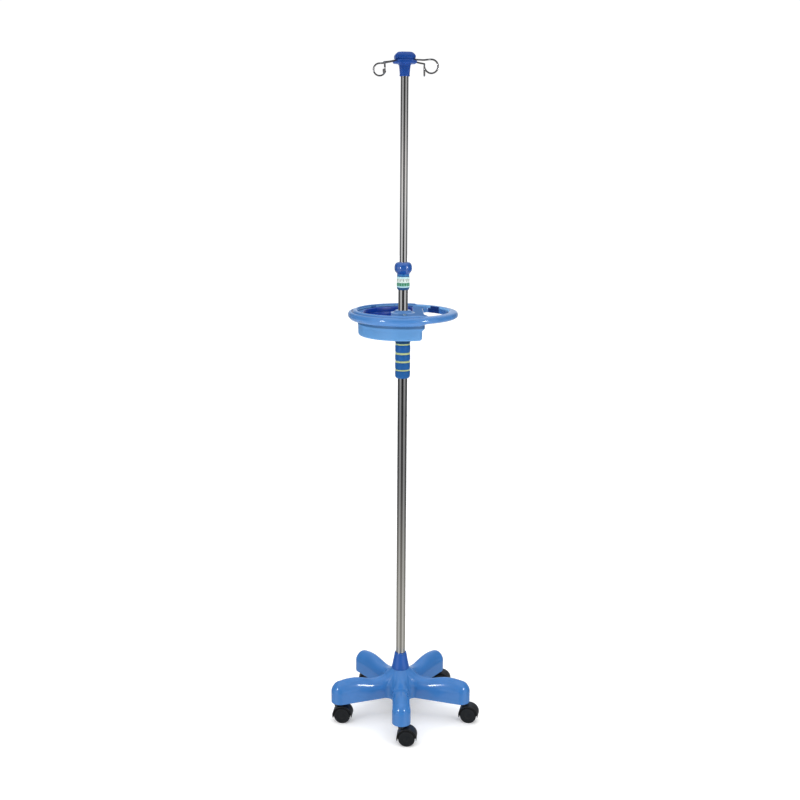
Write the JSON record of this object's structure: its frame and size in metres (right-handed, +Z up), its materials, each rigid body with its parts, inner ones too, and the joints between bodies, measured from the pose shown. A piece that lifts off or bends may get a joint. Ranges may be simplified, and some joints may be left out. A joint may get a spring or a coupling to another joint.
{
  "type": "rolling iv pole",
  "caption": "Height-adjustable infusion stand on a five-legged caster base, with a handle ring and tray, a grip, a twist lock and wire hooks.",
  "frame": {"origin": "on the floor, on the pole's axis", "axes": "+Z up along the pole; one leg of the base points along -Y"},
  "size_m": [0.4559, 0.4132, 1.9842],
  "materials": {
    "light_blue": "gloss",
    "dark_blue": "satin",
    "grip_blue": "satin",
    "lime": "satin",
    "polished_steel": "polished",
    "wire_steel": "polished",
    "plated_steel": "zinc plated",
    "caster_black": "moulded",
    "wheel_black": "moulded",
    "nylon_black": "moulded",
    "nylon_white": "moulded",
    "band_white": "gloss"
  },
  "bodies": {
    "stand": {"base_shell": "light_blue", "hub_plate": "plated_steel", "lock_washer": "plated_steel", "pole_bolt": "plated_steel", "tube_plug": "plated_steel", "pole_ferrule": "dark_blue", "caster_sockets": "nylon_black", "caster_stems": "plated_steel", "lower_tube": "polished_steel", "grip_sleeve": "grip_blue", "grip_rings": "lime", "tray_collar": "nylon_black", "collar_screw": "plated_steel", "tray_top": "light_blue", "deck_screw": "plated_steel", "tray_tub": "light_blue", "tray_screws": "plated_steel", "clamp_body": "light_blue", "label_band": "band_white", "collet": "nylon_white"},
    "mast": {"upper_tube": "polished_steel", "guide_bush": "nylon_white", "mast_plug": "plated_steel", "head_body": "dark_blue", "head_cap": "dark_blue", "head_screw": "plated_steel", "hook_front_right": "wire_steel", "hook_back_right": "wire_steel", "hook_back_left": "wire_steel", "hook_front_left": "wire_steel"},
    "lock": {"lock_knob": "dark_blue"},
    "caster_front": {"caster_front_hood": "caster_black", "caster_front_axle": "plated_steel"},
    "caster_front_a": {"caster_front_wheel_a": "wheel_black"},
    "caster_front_b": {"caster_front_wheel_b": "wheel_black"},
    "caster_right": {"caster_right_hood": "caster_black", "caster_right_axle": "plated_steel"},
    "caster_right_a": {"caster_right_wheel_a": "wheel_black"},
    "caster_right_b": {"caster_right_wheel_b": "wheel_black"},
    "caster_back_right": {"caster_back_right_hood": "caster_black", "caster_back_right_axle": "plated_steel"},
    "caster_back_right_a": {"caster_back_right_wheel_a": "wheel_black"},
    "caster_back_right_b": {"caster_back_right_wheel_b": "wheel_black"},
    "caster_back_left": {"caster_back_left_hood": "caster_black", "caster_back_left_axle": "plated_steel"},
    "caster_back_left_a": {"caster_back_left_wheel_a": "wheel_black"},
    "caster_back_left_b": {"caster_back_left_wheel_b": "wheel_black"},
    "caster_left": {"caster_left_hood": "caster_black", "caster_left_axle": "plated_steel"},
    "caster_left_a": {"caster_left_wheel_a": "wheel_black"},
    "caster_left_b": {"caster_left_wheel_b": "wheel_black"}
  },
  "joints": [
    {"name": "mast_slide", "type": "slide", "parent": "stand", "child": "mast", "axis": [0, 0, 1], "range_m": [-0.505, 0.27]},
    {"name": "lock_twist", "type": "hinge", "parent": "stand", "child": "lock", "pos_m": [0, 0, 1.385], "axis": [0, 0, 1], "range_deg": [0, 150]},
    {"name": "caster_front_swivel", "type": "hinge", "parent": "stand", "child": "caster_front", "pos_m": [0, -0.204, 0.05], "axis": [0, 0, 1], "continuous": true},
    {"name": "caster_front_roll_a", "type": "hinge", "parent": "caster_front", "child": "caster_front_a", "pos_m": [0.01515, -0.21855, 0.025], "axis": [0.0976, 0.9952, 0], "continuous": true},
    {"name": "caster_front_roll_b", "type": "hinge", "parent": "caster_front", "child": "caster_front_b", "pos_m": [0.01769, -0.19267, 0.025], "axis": [0.0976, 0.9952, 0], "continuous": true},
    {"name": "caster_right_swivel", "type": "hinge", "parent": "stand", "child": "caster_right", "pos_m": [0.19402, -0.06304, 0.05], "axis": [0, 0, 1], "continuous": true},
    {"name": "caster_right_roll_a", "type": "hinge", "parent": "caster_right", "child": "caster_right_a", "pos_m": [0.20737, -0.07926, 0.025], "axis": [0.213, 0.977, 0], "continuous": true},
    {"name": "caster_right_roll_b", "type": "hinge", "parent": "caster_right", "child": "caster_right_b", "pos_m": [0.21291, -0.05385, 0.025], "axis": [0.213, 0.977, 0], "continuous": true},
    {"name": "caster_back_right_swivel", "type": "hinge", "parent": "stand", "child": "caster_back_right", "pos_m": [0.11991, 0.16504, 0.05], "axis": [0, 0, 1], "continuous": true},
    {"name": "caster_back_right_roll_a", "type": "hinge", "parent": "caster_back_right", "child": "caster_back_right_a", "pos_m": [0.13417, 0.14962, 0.025], "axis": [0.1564, 0.9877, 0], "continuous": true},
    {"name": "caster_back_right_roll_b", "type": "hinge", "parent": "caster_back_right", "child": "caster_back_right_b", "pos_m": [0.13824, 0.1753, 0.025], "axis": [0.1564, 0.9877, 0], "continuous": true},
    {"name": "caster_back_left_swivel", "type": "hinge", "parent": "stand", "child": "caster_back_left", "pos_m": [-0.11991, 0.16504, 0.05], "axis": [0, 0, 1], "continuous": true},
    {"name": "caster_back_left_roll_a", "type": "hinge", "parent": "caster_back_left", "child": "caster_back_left_a", "pos_m": [-0.10436, 0.15092, 0.025], "axis": [0.0698, 0.9976, 0], "continuous": true},
    {"name": "caster_back_left_roll_b", "type": "hinge", "parent": "caster_back_left", "child": "caster_back_left_b", "pos_m": [-0.10254, 0.17686, 0.025], "axis": [0.0698, 0.9976, 0], "continuous": true},
    {"name": "caster_left_swivel", "type": "hinge", "parent": "stand", "child": "caster_left", "pos_m": [-0.19402, -0.06304, 0.05], "axis": [0, 0, 1], "continuous": true},
    {"name": "caster_left_roll_a", "type": "hinge", "parent": "caster_left", "child": "caster_left_a", "pos_m": [-0.17925, -0.07798, 0.025], "axis": [0.1236, 0.9923, 0], "continuous": true},
    {"name": "caster_left_roll_b", "type": "hinge", "parent": "caster_left", "child": "caster_left_b", "pos_m": [-0.17603, -0.05218, 0.025], "axis": [0.1236, 0.9923, 0], "continuous": true}
  ]
}
